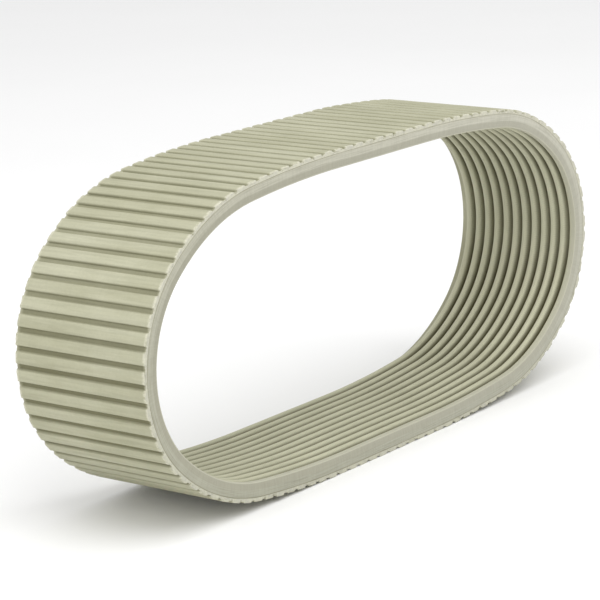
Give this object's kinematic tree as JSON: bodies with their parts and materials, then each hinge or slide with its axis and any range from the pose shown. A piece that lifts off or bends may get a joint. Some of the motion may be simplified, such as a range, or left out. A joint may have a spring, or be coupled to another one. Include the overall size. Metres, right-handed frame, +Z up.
{
  "type": "multi-rib belt",
  "caption": "Endless multi-rib drive belt standing as an oval loop: lengthwise V ribs inside, shallow cross ribs outside, cut side edges.",
  "frame": {"origin": "under the middle of the belt, on the floor the lower run stands on", "axes": "+X along the length of the loop, +Y across the belt's width, +Z up from the lower run to the upper run"},
  "size_m": [0.2904, 0.0586, 0.1235],
  "materials": {
    "cover_rubber": "matt, moulded",
    "rib_rubber": "matt, cut on the edges",
    "facing_fabric": "fine diagonal weave, rubber filled",
    "tie_ply": "rubberised cord fabric",
    "cushion_rubber": "matt",
    "cord_fibre": "twisted, dipped"
  },
  "bodies": {
    "root": {"outer_cover": "cover_rubber", "tie_fabric": "tie_ply", "cushion_top": "cushion_rubber", "cord_s": "cord_fibre", "cord_z": "cord_fibre", "cushion_base": "cushion_rubber", "drive_ribs": "rib_rubber", "rib_facing": "facing_fabric"}
  },
  "joints": []
}
